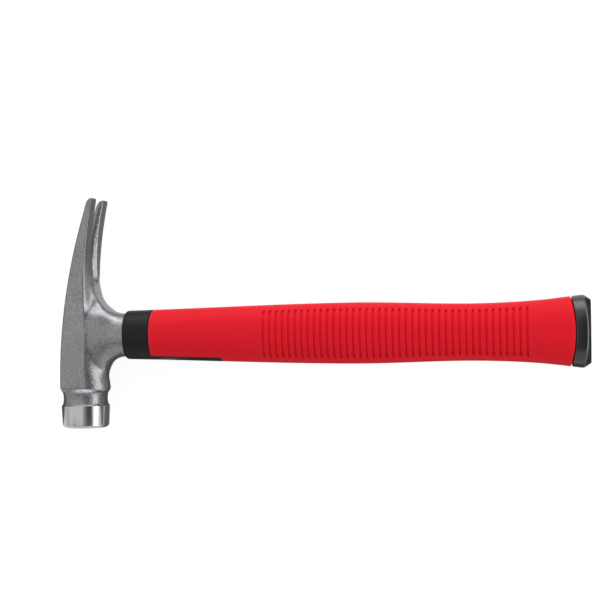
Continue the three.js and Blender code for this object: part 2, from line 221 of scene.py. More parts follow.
@dataclass(frozen=True)
class BlastedSteel(Finish):
    """Drop-forged steel, shot-blasted: an even grey with a fine mottled grain and soft pits."""

    name: str = "shot_blasted_forged_steel"
    dark: str = "67686a"
    light: str = "9d9ea0"
    roughness: tuple[float, float] = (0.27, 0.4)
    # Shot marks are about 0.3 mm across on the real part. They are drawn coarser, so that they show
    # at the size of the picture.
    grain_mm: float = 0.9
    grain_depth_mm: float = 0.22
    pit_mm: float = 1.7
    pit_depth_mm: float = 0.25
    cloud_mm: float = 14.0
    grain_contrast: float = 0.62
    darkest_grain: float = 0.19
    cloud_contrast: float = 0.4

    def dress(self, tree: Tree, place: Socket) -> Inputs:
        """Mottles the colour and the roughness and dents the surface with fine shot marks.

        Args:
            tree: Node tree of the material.
            place: Object coordinates, in metres.

        Returns:
            Plain values of the shader, and the sockets that feed its other inputs.
        """
        grain = add_node(
            tree, "ShaderNodeTexNoise",
            {"Scale": per_metre(self.grain_mm), "Detail": 5.0, "Roughness": 0.6}, {"Vector": place},
        ).outputs["Fac"]
        pits = add_node(
            tree, "ShaderNodeTexVoronoi",
            {"Scale": per_metre(self.pit_mm), "Randomness": 1.0}, {"Vector": place},
            feature="SMOOTH_F1",
        ).outputs["Distance"]
        clouds = add_node(
            tree, "ShaderNodeTexNoise",
            {"Scale": per_metre(self.cloud_mm), "Detail": 3.0}, {"Vector": place},
        ).outputs["Fac"]
        spots = add_node(
            tree, "ShaderNodeMapRange", {"From Min": 0.34, "From Max": 0.66}, {"Value": grain},
        ).outputs["Result"]
        specks = add_node(
            tree, "ShaderNodeMath", {1: self.grain_contrast, 2: self.darkest_grain}, {0: spots},
            operation="MULTIPLY_ADD",
        ).outputs[0]
        patches = add_node(
            tree, "ShaderNodeMath", {1: self.cloud_contrast}, {0: clouds, 2: specks},
            operation="MULTIPLY_ADD",
        ).outputs[0]
        shade = add_node(
            tree, "ShaderNodeMath", {1: self.cloud_contrast / 2.0}, {0: patches},
            operation="SUBTRACT",
        ).outputs[0]
        colour = add_node(
            tree, "ShaderNodeMix",
            {MIX_A: linear_colour(self.dark), MIX_B: linear_colour(self.light)},
            {"Factor": shade}, data_type="RGBA",
        ).outputs[MIX_RESULT]
        smooth, coarse = self.roughness
        rough = add_node(
            tree, "ShaderNodeMapRange",
            {"From Min": 0.3, "From Max": 0.7, "To Min": smooth, "To Max": coarse},
            {"Value": grain},
        ).outputs["Result"]
        dents = add_node(
            tree, "ShaderNodeBump",
            {"Strength": 0.35, "Distance": self.pit_depth_mm * MM}, {"Height": pits},
        ).outputs["Normal"]
        normal = add_node(
            tree, "ShaderNodeBump",
            {"Strength": 0.55, "Distance": self.grain_depth_mm * MM},
            {"Height": grain, "Normal": dents},
        ).outputs["Normal"]
        return {"Metallic": 1.0}, {"Base Color": colour, "Roughness": rough, "Normal": normal}


@dataclass(frozen=True)
class PolishedSteel(Finish):
    """Turned and polished hard steel: mirror stripes, softened by fine lines round the axis."""

    name: str = "polished_hardened_steel"
    base: str = "b4b5b7"
    roughness: tuple[float, float] = (0.15, 0.23)
    # Turning lines are finer than 0.1 mm on the real part, and are drawn coarser to show.
    line_mm: float = 0.35
    line_length_mm: float = 30.0
    line_depth_mm: float = 0.05
    smear_mm: float = 5.0

    def dress(self, tree: Tree, place: Socket) -> Inputs:
        """Draws turning lines round the head axis and clouds the roughness a little.

        Args:
            tree: Node tree of the material.
            place: Object coordinates, in metres.

        Returns:
            Plain values of the shader, and the sockets that feed its other inputs.
        """
        along = per_metre(self.line_length_mm)
        stretched = add_node(
            tree, "ShaderNodeMapping",
            {"Scale": (along, per_metre(self.line_mm), along)}, {"Vector": place},
        ).outputs["Vector"]
        lines = add_node(
            tree, "ShaderNodeTexNoise", {"Scale": 1.0, "Detail": 4.0}, {"Vector": stretched},
        ).outputs["Fac"]
        smears = add_node(
            tree, "ShaderNodeTexNoise",
            {"Scale": per_metre(self.smear_mm), "Detail": 3.0}, {"Vector": place},
        ).outputs["Fac"]
        smooth, coarse = self.roughness
        rough = add_node(
            tree, "ShaderNodeMapRange",
            {"From Min": 0.3, "From Max": 0.7, "To Min": smooth, "To Max": coarse},
            {"Value": smears},
        ).outputs["Result"]
        normal = add_node(
            tree, "ShaderNodeBump",
            {"Strength": 0.12, "Distance": self.line_depth_mm * MM}, {"Height": lines},
        ).outputs["Normal"]
        plain = {"Metallic": 1.0, "Base Color": linear_colour(self.base)}
        return plain, {"Roughness": rough, "Normal": normal}


@dataclass(frozen=True)
class Moulding(Finish):
    """Injection moulding with the fine spark-eroded grain of its tool, and a pale highlight painted
    on some edges.
    """

    base: str
    worn: str
    # Pale colour painted along edges as a highlight.
    highlight_colour: str = "525256"
    # Tool grain is about 0.1 mm on the real part, and is drawn coarser to show.
    grain_mm: float = 0.5
    grain_depth_mm: float = 0.03
    cloud_mm: float = 9.0
    roughness: tuple[float, float] = (0.42, 0.52)
    specular: float = 0.4
    ior: float = 1.49

    def dress(self, tree: Tree, place: Socket) -> Inputs:
        """Grains the surface, lets colour and gloss drift over it and paints a pale highlight on its
        edges.

        Args:
            tree: Node tree of the material.
            place: Object coordinates, in metres.

        Returns:
            Plain values of the shader, and the sockets that feed its other inputs.
        """
        grain = add_node(
            tree, "ShaderNodeTexNoise",
            {"Scale": per_metre(self.grain_mm), "Detail": 3.0, "Roughness": 0.55},
            {"Vector": place},
        ).outputs["Fac"]
        clouds = add_node(
            tree, "ShaderNodeTexNoise",
            {"Scale": per_metre(self.cloud_mm), "Detail": 2.0}, {"Vector": place},
        ).outputs["Fac"]
        skin = add_node(
            tree, "ShaderNodeMix",
            {MIX_A: linear_colour(self.base), MIX_B: linear_colour(self.worn)},
            {"Factor": clouds}, data_type="RGBA",
        ).outputs[MIX_RESULT]
        # Painted highlight: edges marked in the mesh attribute take the pale colour, in patches.
        highlight_mask = add_node(tree, "ShaderNodeAttribute", attribute_name=PAINTED_HIGHLIGHT).outputs["Fac"]
        patches = add_node(
            tree, "ShaderNodeMapRange",
            {"From Min": 0.3, "From Max": 0.7, "To Min": 0.5, "To Max": 1.0}, {"Value": clouds},
        ).outputs["Result"]
        highlight_share = add_node(
            tree, "ShaderNodeMath", links={0: highlight_mask, 1: patches}, operation="MULTIPLY",
        ).outputs[0]
        colour = add_node(
            tree, "ShaderNodeMix", {MIX_B: linear_colour(self.highlight_colour)},
            {"Factor": highlight_share, MIX_A: skin}, data_type="RGBA",
        ).outputs[MIX_RESULT]
        smooth, coarse = self.roughness
        rough = add_node(
            tree, "ShaderNodeMapRange",
            {"From Min": 0.3, "From Max": 0.7, "To Min": smooth, "To Max": coarse},
            {"Value": grain},
        ).outputs["Result"]
        normal = add_node(
            tree, "ShaderNodeBump",
            {"Strength": 0.5, "Distance": self.grain_depth_mm * MM}, {"Height": grain},
        ).outputs["Normal"]
        plain = {"IOR": self.ior, "Specular IOR Level": self.specular}
        return plain, {"Base Color": colour, "Roughness": rough, "Normal": normal}


@dataclass(frozen=True)
class PultrudedRod(Finish):
    """Sawn end of a pultruded glass-fibre rod: pale amber, speckled with fibre ends."""

    name: str = "pultruded_fibreglass"
    glass: str = "d8c79a"
    resin: str = "a98d52"
    # Glass fibres are about 0.02 mm across on the real part. Bundles of them are drawn.
    strand_mm: float = 0.6
    strand_length_mm: float = 60.0
    strand_depth_mm: float = 0.08
    roughness: float = 0.6
    ior: float = 1.52

    def dress(self, tree: Tree, place: Socket) -> Inputs:
        """Draws strands along the handle, which show as speckles on the sawn end.

        Args:
            tree: Node tree of the material.
            place: Object coordinates, in metres.

        Returns:
            Plain values of the shader, and the sockets that feed its other inputs.
        """
        across = per_metre(self.strand_mm)
        drawn = add_node(
            tree, "ShaderNodeMapping",
            {"Scale": (per_metre(self.strand_length_mm), across, across)}, {"Vector": place},
        ).outputs["Vector"]
        strands = add_node(
            tree, "ShaderNodeTexNoise", {"Scale": 1.0, "Detail": 3.0}, {"Vector": drawn},
        ).outputs["Fac"]
        contrast = add_node(
            tree, "ShaderNodeMapRange", {"From Min": 0.35, "From Max": 0.65}, {"Value": strands},
        ).outputs["Result"]
        colour = add_node(
            tree, "ShaderNodeMix",
            {MIX_A: linear_colour(self.resin), MIX_B: linear_colour(self.glass)},
            {"Factor": contrast}, data_type="RGBA",
        ).outputs[MIX_RESULT]
        normal = add_node(
            tree, "ShaderNodeBump",
            {"Strength": 0.4, "Distance": self.strand_depth_mm * MM}, {"Height": strands},
        ).outputs["Normal"]
        plain = {"Roughness": self.roughness, "IOR": self.ior}
        return plain, {"Base Color": colour, "Normal": normal}


BLASTED_STEEL = BlastedSteel()
POLISHED_STEEL = PolishedSteel()
# Glass-filled polyamide from a textured tool: deep black with a dull, even sheen.
SATIN_POLYAMIDE = Moulding("satin_black_polyamide", base="0d0d0e", worn="131314", specular=0.22)
# The same plastic from a polished tool: broad soft highlights, and a grey highlight painted on its
# edges.
GLOSS_POLYAMIDE = Moulding(
    "polished_black_polyamide", base="0c0c0d", worn="121213",
    roughness=(0.24, 0.32), specular=0.65, ior=1.53,
)
# Soft thermoplastic elastomer: saturated red, nearly without gloss, with a pale pink highlight
# painted on its lip.
RED_ELASTOMER = Moulding(
    "moulded_red_elastomer", base="de1b2a", worn="e21e2c", highlight_colour="dc4759",
    roughness=(0.44, 0.54), specular=0.08, ior=1.47,
)
FIBREGLASS = PultrudedRod()
# Poured resin: clear amber brown with a wet gloss.
CAST_EPOXY = Moulding(
    "cast_epoxy", base="a9772c", worn="b98636", grain_mm=1.5,
    roughness=(0.25, 0.4), specular=0.5, ior=1.55,
)


# Mesh work


class Loft:
    """Skin drawn through a row of sections, each one extruded from the one before it."""

    def __init__(self, segments: int) -> None:
        """Starts with one ring of the given number of vertices.

        Args:
            segments: Vertices in each ring.
        """
        self.bm = bmesh.new()
        self._turn = self.bm.verts.layers.float.new("turn")
        bmesh.ops.create_circle(self.bm, cap_ends=False, radius=1.0, segments=segments)
        for vert in self.bm.verts:
            vert[self._turn] = math.atan2(vert.co.y, vert.co.x) % math.tau
        self._first = list(self.bm.edges)
        self._last = self._first
        self._placed = False

    def add(self, section: Section) -> None:
        """Adds the next section.

        Args:
            section: Gives the place of a vertex from its angle round the ring.
        """
        if self._placed:
            grown = bmesh.ops.extrude_edge_only(self.bm, edges=self._last)["geom"]
            verts = {item for item in grown if isinstance(item, bmesh.types.BMVert)}
            self._last = [
                item for item in grown
                if isinstance(item, bmesh.types.BMEdge) and verts.issuperset(item.verts)
            ]
        else:
            verts = set(self.bm.verts)
            self._placed = True
        for vert in verts:
            vert.co = section(vert[self._turn])

    def close_ends(self) -> bmesh.types.BMesh:
        """Closes the first and the last section with flat faces.

        Returns:
            The solid.
        """
        bmesh.ops.edgeloop_fill(self.bm, edges=self._first)
        bmesh.ops.edgeloop_fill(self.bm, edges=self._last)
        return self._outwards()

    def close_round(self) -> bmesh.types.BMesh:
        """Joins the last section to the first.

        Returns:
            The hollow shell.
        """
        bmesh.ops.bridge_loops(self.bm, edges=self._first + self._last)
        return self._outwards()

    def _outwards(self) -> bmesh.types.BMesh:
        """Turns every face outwards and returns the mesh."""
        bmesh.ops.recalc_face_normals(self.bm, faces=self.bm.faces)
        return self.bm


def mesh_object(name: str, bm: bmesh.types.BMesh) -> Object:
    """Puts a finished bmesh into the scene as an object and frees it.

    Args:
        name: Name of the object and its mesh.
        bm: The finished bmesh.

    Returns:
        The new object.
    """
    mesh = bpy.data.meshes.new(name)
    bm.to_mesh(mesh)
    bm.free()
    made = bpy.data.objects.new(name, mesh)
    bpy.context.scene.collection.objects.link(made)
    return made


def bake_modifiers(piece: Object) -> None:
    """Replaces an object's mesh by what its modifiers make of it.

    Args:
        piece: Object with modifiers, which it loses.
    """
    graph = bpy.context.evaluated_depsgraph_get()
    baked = bpy.data.meshes.new_from_object(piece.evaluated_get(graph))
    old = piece.data
    piece.modifiers.clear()
    piece.data = baked
    bpy.data.meshes.remove(old)


def combine(piece: Object, tool: Object, cut: Cut) -> None:
    """Joins a closed solid to another or cuts it away, and uses the tool up.

    Args:
        piece: Solid that changes.
        tool: Solid that is joined or taken away.
        cut: What is done with the tool.
    """
    modifier = piece.modifiers.new(cut.name, "BOOLEAN")
    modifier.operation = cut.value
    modifier.object = tool
    modifier.solver = "MANIFOLD"
    bake_modifiers(piece)
    bpy.data.objects.remove(tool)


def oval(
    turn: float, up: float, down: float, half_width: float, power: float
) -> tuple[float, float]:
    """Point of a squared oval, as height and width.

    Args:
        turn: Angle from the top.
        up: Half height above the axis.
        down: Half height below the axis.
        half_width: Half width.
        power: 2 for an ellipse, more for a squarer shape.

    Returns:
        Height and width of the point.
    """
    high, wide = math.cos(turn), math.sin(turn)
    height = math.copysign(abs(high) ** (2.0 / power), high) * (up if high > 0 else down)
    return height, math.copysign(abs(wide) ** (2.0 / power), wide) * half_width


def straight(x: float, height: float, width: float, power: float, turn: float) -> Vector:
    """Point of an even oval that stands across the handle, at an angle from its top."""
    return Vector((x, *oval(turn, height / 2.0, height / 2.0, width / 2.0, power)))


def fillet(x: float, radius: float, start: float) -> float:
    """How far a fillet that starts at a place along the handle still stands out at x."""
    run = min(max(start + radius - x, 0.0), radius)
    return radius - math.sqrt(radius ** 2 - run ** 2)


def rounding(radius: float, count: int) -> list[tuple[float, float]]:
    """Sections round an edge, as how far each is set back and how far it is drawn in."""
    angles = steps(0.0, QUARTER_TURN, count)
    return [(radius * (1.0 - math.cos(turn)), radius * (1.0 - math.sin(turn))) for turn in angles]


@dataclass(frozen=True)
class MakersFrame:
    """Where the maker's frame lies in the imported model."""

    butt_end: float
    claw_tips: float

    def matrix(self) -> Matrix:
        """Finds where the maker's frame lies.

        Returns:
            Transform from the maker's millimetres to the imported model's metres.
        """
        head_low, head_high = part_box("head")
        cap_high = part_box("butt_cap")[1]
        shift = Vector((
            cap_high.x - self.butt_end * MM,
            head_high.y - self.claw_tips * MM,
            (head_low.z + head_high.z) / 2.0,
        ))
        return Matrix.Translation(shift) @ Matrix.Scale(MM, 4)


class Piece:
    """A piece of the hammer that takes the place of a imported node."""

    node: str
    slot: Slot
    finishes: tuple[Finish, ...]
    sharp_angle: float = math.radians(40)

    def shape(self) -> Object:
        """Makes the piece's object, in the maker's millimetres."""
        raise NotImplementedError

    def face_finish(self, middle: Vector) -> int:
        """Number of the finish on a face, from the place of its middle in the maker's frame."""
        return 0

    def painted_highlight(self, point: Vector) -> float:
        """How much painted edge highlight the surface takes at a point of the maker's frame, from 0
        to 1.
        """
        return 0.0

    def build(self, place: Matrix) -> Object:
        """Makes the piece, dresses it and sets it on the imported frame.

        Args:
            place: Transform from the maker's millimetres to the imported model's metres.

        Returns:
            The finished object.
        """
        piece = self.shape()
        mesh = piece.data
        mesh.materials.clear()
        for finish in self.finishes:
            mesh.materials.append(finish.material())
        for polygon in mesh.polygons:
            polygon.material_index = self.face_finish(polygon.center)
            polygon.use_smooth = True
        # Mask of the painted edge highlight, one value for each vertex.
        highlight_values = mesh.attributes.new(PAINTED_HIGHLIGHT, "FLOAT", "POINT")
        highlight_values.data.foreach_set("value", [self.painted_highlight(vertex.co) for vertex in mesh.vertices])
        mesh.set_sharp_from_angle(angle=self.sharp_angle)
        mesh.transform(place)
        mesh.update()
        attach(piece, "root")
        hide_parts(self.node)
        LOG.info("%s: %d faces", piece.name, len(mesh.polygons))
        return piece


# Head


@dataclass
class ForgedHead(Piece):
    """One-piece forging: striking face, neck, poll, cheeks, split claw and the socket."""

    node = "head"
    slot = Slot.STEEL
    finishes = (BLASTED_STEEL, POLISHED_STEEL)

    face_drop: float = 56.5
    face_diameter: float = 29.3
    face_rim_diameter: float = 28.3
    face_chamfer: float = 1.3
    face_edge_rounding: float = 0.35
    face_edge_steps: int = 3
    face_steps: int = 160
    band_length: float = 13.5
    band_shoulder: float = 1.2
    polish_margin: float = 0.2          # height at the top of the band that stays blasted
    neck_diameter: float = 26.8
    neck_hollow: float = 1.1
    neck_length: float = 8.5
    neck_steps: int = 16

    cheek_width: float = 25.8
    claw_tip_width: float = 29.0
    claw_reach: float = 83.5
    back_offset: float = 12.2
    back_radius: float = 326.0
    back_start: float = -30.0
    back_corner: float = 2.4
    cheek_depth: float = 15.2
    tip_thickness: float = 3.2
    tip_rounding: float = 3.0
    blunt_tip: float = 0.97
    tip_crown: float = 0.3
    claw_root_crown: float = 4.4
    claw_root_height: float = 30.0
    poll_crown: float = 13.2
    crown_growth: float = 2.5
    claw_crown_power: float = 1.5
    poll_crown_power: float = 1.7
    poll_chamfer: float = 1.1
    poll_chamfer_length: float = 2.0

    socket_height: float = 26.6
    socket_width: float = 23.0
    socket_root_width: float = 26.2
    socket_end: float = 33.3
    facet_start: float = 11.4
    facet_tilt: float = math.radians(33.0)
    facet_depth: float = 4.6
    socket_poll_power: float = 1.9
    socket_power: float = 2.3
    socket_blend: float = 13.0
    socket_straight: float = 24.0
    claw_fillet: float = 17.4
    poll_fillet: float = 11.0

    slot_depth: float = 42.0
    slot_mouth: float = 10.6
    slot_root: float = 3.2
    slot_bevel: float = 1.6
    slot_root_bevel: float = 3.2
    slot_lean: float = 0.5
    slot_root_lean: float = 0.95
    slot_runout: float = 11.0
    slot_heel: float = 0.25

    eye_height: float = 20.2
    eye_width: float = 15.6
    eye_clearance: float = 1.0          # how far the cutter passes the end of the socket
    eye_ring: int = 64

    # How much of half a ring runs along the rear, round the corner and along the cheek.
    rear_share: float = 0.15
    corner_share: float = 0.15
    cheek_share: float = 0.2
    # Where the wall starts, bends into the bevel and ends, on half a ring of the slot's cutter.
    slot_wall_from: float = 0.2
    slot_bend_at: float = 0.5
    slot_bevel_to: float = 0.8

    mesh_size: float = 0.42             # of the forged skin
    smoothing: float = 0.5              # share of the way to its neighbours, in one pass
    skin_passes: int = 5                # over the whole skin
    fillet_passes: int = 110            # where the socket meets the body
    # How far the smoothing keeps from the cheeks and the end of the socket, and passes the fillets.
    fillet_from_claw_cheek: float = 0.8
    fillet_from_poll_cheek: float = 2.0
    fillet_from_socket_end: float = 6.0
    fillet_above: float = 2.0
    fillet_below: float = 4.0
    body_sections: int = 90
    tip_sections: int = 8
    socket_sections: int = 40
    slot_ring: int = 20
    slot_sections: int = 14
    runout_sections: int = 12

    @property
    def shoulder(self) -> float:
        """Height at which the neck meets the poll."""
        return -(self.face_drop - self.band_length - self.neck_length)

    @property
    def claw_flare(self) -> float:
        """Place along the handle at which the fillet into the claw starts."""
        return self.ridge(self.socket_height / 2.0 + self.claw_fillet)

    @property
    def slot_past(self) -> float:
        """How far the slot's cutter passes the claw."""
        return self.tip_thickness + self.tip_crown

    def back(self, y: float) -> float:
        """Rear face at a height."""
        return max(y - self.back_start, 0.0) ** 2 / (2.0 * self.back_radius) - self.back_offset

    def cheek_half(self, y: float) -> float:
        """Half width across the cheeks at a height."""
        share = (y - self.shoulder) / (self.claw_reach - self.shoulder)
        return blend(self.cheek_width, self.claw_tip_width, share) / 2.0

    def cheek_run(self, y: float) -> float:
        """Depth of the flat cheek at a height."""
        return blend(self.cheek_depth, self.tip_thickness, max(y, 0.0) / self.claw_reach)

    def crown(self, y: float) -> float:
        """How far the handle side stands out from the cheeks.

        Args:
            y: Height on the head.

        Returns:
            Depth of the crown.
        """
        if y < self.claw_root_height:
            share = (y - self.shoulder) / (self.claw_root_height - self.shoulder)
            return blend(self.poll_crown, self.claw_root_crown, share)
        to_root = share_of(y, self.claw_reach, self.claw_root_height)
        return blend(self.tip_crown, self.claw_root_crown, to_root ** self.crown_growth)

    def crown_power(self, y: float) -> float:
        """Roundness of the handle side at a height."""
        share = share_of(y, self.shoulder, self.claw_root_height)
        return blend(self.poll_crown_power, self.claw_crown_power, share)

    def ridge(self, y: float) -> float:
        """Middle of the handle side at a height."""
        return self.back(y) + self.cheek_run(y) + self.crown(y)

    def body_point(self, y: float, inset: float, turn: float) -> Vector:
        """Point of the forged body: flat rear, rounded corners, flat cheeks, crowned handle side.

        Args:
            y: Height of the section.
            inset: How far the section is drawn in.
            turn: Angle round the section from the middle of the rear.

        Returns:
            The point.
        """
        past_straight = max(y - self.claw_reach + self.tip_rounding, 0.0)
        into_tip = self.blunt_tip * past_straight / self.tip_rounding
        kept = math.sqrt(1.0 - into_tip ** 2)
        cheek_end = self.back(y) + self.cheek_run(y)
        depth = (self.cheek_run(y) - inset) * kept
        bulge = (self.crown(y) - inset) * kept
        half = self.cheek_half(y) - inset
        radius = min(self.back_corner, depth / 2.0)
        power = self.crown_power(y)
        rear = cheek_end - depth
        to_cheek = self.rear_share + self.corner_share
        to_crown = to_cheek + self.cheek_share
        side = 1.0 if turn <= math.pi else -1.0
        along = min(turn, math.tau - turn) / math.pi
        if along < self.rear_share:
            x, z = rear, (half - radius) * along / self.rear_share
        elif along < to_cheek:
            angle = QUARTER_TURN * (along - self.rear_share) / self.corner_share
            x = rear + radius * (1.0 - math.cos(angle))
            z = half - radius * (1.0 - math.sin(angle))
        elif along < to_crown:
            x = blend(rear + radius, cheek_end, (along - to_cheek) / self.cheek_share)
            z = half
        else:
            angle = QUARTER_TURN * (along - to_crown) / (1.0 - to_crown)
            x = cheek_end + bulge * math.sin(angle) ** (2.0 / power)
            z = half * max(math.cos(angle), 0.0) ** (2.0 / power)
        return Vector((x, y, side * z))

    def body(self) -> Object:
        """Draws the forged body from the poll to the tips of the claw.

        Returns:
            The body's solid.
        """
        loft = Loft(RING)
        loft.add(partial(self.body_point, self.shoulder, self.poll_chamfer))
        tip_start = self.claw_reach - self.tip_rounding
        rows = steps(self.shoulder + self.poll_chamfer_length, tip_start, self.body_sections)
        for y in rows + steps(tip_start, self.claw_reach, self.tip_sections)[1:]:
            loft.add(partial(self.body_point, y, 0.0))
        return mesh_object("forged_head", loft.close_ends())

    def faceted(self, x: float, turn: float, up: float, half_width: float) -> Vector:
        """Point of the upper half of the socket's root, which steps in with a facet below its top.

        Args:
            x: Place along the handle.
            turn: Angle round the ring from the top.
            up: Height of the top.
            half_width: Half width between the flat sides.

        Returns:
            The point at that angle.
        """
        rise, out = max(math.cos(turn), TINY), max(abs(math.sin(turn)), TINY)
        facet = Vector((math.sin(self.facet_tilt), math.cos(self.facet_tilt)))
        to_facet = facet.dot((self.facet_start, half_width)) / facet.dot((rise, out))
        to_step = (half_width - self.facet_depth) / out
        reach = min(up / rise, half_width / out, max(to_facet, to_step))
        return Vector((x, reach * rise, reach * math.sin(turn)))

    def socket_point(self, x: float, turn: float) -> Vector:
        """Point of the oval socket, which flares into the claw and the poll.

        Args:
            x: Place along the handle.
            turn: Angle round the section from the top.

        Returns:
            The point.
        """
        half = self.socket_height / 2.0
        poll_flare = self.ridge(-half - self.poll_fillet)
        up = half + fillet(x, self.claw_fillet, self.claw_flare)
        down = half + fillet(x, self.poll_fillet, poll_flare)
        share = share_of(x, 0.0, self.claw_flare + self.claw_fillet)
        wide = blend(self.socket_root_width, self.socket_width, share) / 2.0
        settle = ease(x, self.socket_blend, self.socket_straight)
        if math.cos(turn) < 0.0:
            power = blend(self.socket_poll_power, self.socket_power, settle)
            return Vector((x, *oval(turn, up, down, wide, power)))
        rounded = Vector((x, *oval(turn, up, down, wide, self.socket_power)))
        return self.faceted(x, turn, up, wide).lerp(rounded, settle)

    def socket(self) -> Object:
        """Draws the socket from inside the body to its end in the collar.

        Returns:
            The socket's solid.
        """
        loft = Loft(RING)
        for x in [0.0, *steps(self.claw_flare, self.socket_end, self.socket_sections)]:
            loft.add(partial(self.socket_point, x))
        return mesh_object("socket", loft.close_ends())

    def slot_point(
        self, y: float, floor: float, width: float, share: float, turn: float
    ) -> Vector:
        """Point of the cutter for the nail slot, which has leaning bevels towards the handle.

        Args:
            y: Height of the section.
            floor: How far to the rear it reaches.
            width: Width between its inner walls.
            share: Where it lies between the end of the slot and the tips.
            turn: Angle round the section from the middle of its floor.

        Returns:
            The point.
        """
        ridge = self.ridge(min(y, self.claw_reach))
        bend = max(ridge - blend(self.slot_root_bevel, self.slot_bevel, share), floor)
        lean = blend(self.slot_root_lean, self.slot_lean, share)
        side = 1.0 if turn <= math.pi else -1.0
        along = min(turn, math.tau - turn) / math.pi
        inner = share_of(along, self.slot_wall_from, self.slot_bend_at)
        outer = share_of(along, self.slot_bend_at, self.slot_bevel_to)
        x = blend(blend(floor, bend, inner), ridge + self.slot_past, outer)
        half = width / 2.0 + lean * (x - bend) * (outer > 0.0)
        return Vector((x, y, side * half * (0.0 < along < 1.0)))

    def nail_slot(self) -> Object:
        """Draws the cutter for the nail slot, which runs out in a scoop towards the handle.

        Returns:
            The cutter.
        """
        cut_end = self.claw_reach - self.slot_depth
        loft = Loft(self.slot_ring)
        for share in steps(0.0, 1.0, self.runout_sections):
            climb = 1.0 - math.cos(share * QUARTER_TURN)
            y = cut_end - self.slot_runout * (1.0 - share)
            floor = blend(self.ridge(y), self.back(y) - self.slot_past, climb)
            width = self.slot_root * blend(self.slot_heel, 1.0, math.sqrt(share))
            loft.add(partial(self.slot_point, y, floor, width, 0.0))
        for y in steps(cut_end, self.claw_reach + self.slot_past, self.slot_sections)[1:]:
            share = (y - cut_end) / self.slot_depth
            width = blend(self.slot_root, self.slot_mouth, share)
            loft.add(partial(self.slot_point, y, self.back(y) - self.slot_past, width, share))
        return mesh_object("nail_slot", loft.close_ends())

    def eye(self) -> Object:
        """Draws the cutter for the eye that takes the core and its resin.

        Returns:
            The cutter.
        """
        loft = Loft(self.eye_ring)
        for x in (-self.back_offset - self.back_corner, self.socket_end + self.eye_clearance):
            loft.add(partial(straight, x, self.eye_height, self.eye_width, self.socket_power))
        return mesh_object("eye", loft.close_ends())

    def striking_end(self) -> Object:
        """Spins the striking face, the polished band and the neck about the head axis.

        Returns:
            The spun solid.
        """
        band_top = self.band_length - self.face_drop
        neck_top = self.shoulder + self.poll_chamfer_length
        middle = (band_top + self.shoulder) / 2.0
        waist = self.neck_diameter / 2.0
        rim = self.face_rim_diameter / 2.0
        profile = [
            (0.0, -self.face_drop),
            (rim - self.face_chamfer, -self.face_drop),
            (rim, self.face_chamfer - self.face_drop),
            (self.face_diameter / 2.0, band_top - self.band_shoulder),
        ]
        for angle in steps(-QUARTER_TURN, QUARTER_TURN, self.neck_steps):
            profile.append((
                waist + self.neck_hollow * (1.0 - math.cos(angle)),
                middle + self.neck_length / 2.0 * math.sin(angle),
            ))
        profile += [(waist, neck_top), (0.0, neck_top)]
        bm = bmesh.new()
        line = [bm.verts.new((radius, height, 0.0)) for radius, height in profile]
        for pair in zip(line, line[1:]):
            bm.edges.new(pair)
        corners = line[1:4]
        bmesh.ops.bevel(
            bm, geom=corners, offset=self.face_edge_rounding, offset_type="OFFSET",
            segments=self.face_edge_steps, profile=0.5, affect="VERTICES", material=-1,
        )
        bmesh.ops.spin(
            bm, geom=list(bm.verts) + list(bm.edges), cent=(0, 0, 0), axis=HEAD_AXIS,
            angle=math.tau, steps=self.face_steps, use_merge=True,
        )
        bmesh.ops.remove_doubles(bm, verts=bm.verts, dist=WELD)
        bmesh.ops.recalc_face_normals(bm, faces=bm.faces)
        return mesh_object("striking_end", bm)

    def smooth_skin(self, head: Object) -> None:
        """Rounds the edges of the forging and blends the socket into the body.

        Args:
            head: The head, with its skin remeshed.
        """
        bm = bmesh.new()
        bm.from_mesh(head.data)
        half = self.socket_height / 2.0
        fillets = []
        for vert in bm.verts:
            x, y, _ = vert.co
            off_cheek = self.fillet_from_claw_cheek if y > 0.0 else self.fillet_from_poll_cheek
            cheek_end = self.back(y) + self.cheek_run(y)
            if (
                cheek_end + off_cheek < x < self.socket_end - self.fillet_from_socket_end
                and y > -half - self.poll_fillet - self.fillet_below
                and y < half + self.claw_fillet + self.fillet_above
            ):
                fillets.append(vert)
        for verts, passes in ((fillets, self.fillet_passes), (bm.verts, self.skin_passes)):
            for _ in range(passes):
                bmesh.ops.smooth_vert(
                    bm, verts=verts, factor=self.smoothing,
                    use_axis_x=True, use_axis_y=True, use_axis_z=True,
                )
        bm.to_mesh(head.data)
        bm.free()

    def shape(self) -> Object:
        """Joins the body and the socket, cuts the slot and the eye, and adds the striking end.

        Returns:
            The head's object.
        """
        head = self.body()
        combine(head, self.socket(), Cut.JOIN)
        combine(head, self.nail_slot(), Cut.REMOVE)
        skin = head.modifiers.new("skin", "REMESH")
        skin.mode = "VOXEL"
        skin.voxel_size = self.mesh_size
        bake_modifiers(head)
        self.smooth_skin(head)
        combine(head, self.eye(), Cut.REMOVE)
        combine(head, self.striking_end(), Cut.JOIN)
        return head

    def face_finish(self, middle: Vector) -> int:
        """Polished below the top of the band, blasted above it."""
        return int(middle.y < self.band_length - self.face_drop - self.polish_margin)


# Handle


@dataclass(frozen=True)
class Station:
    """Size of the handle at one place along it."""

    at: float
    height: float
    width: float


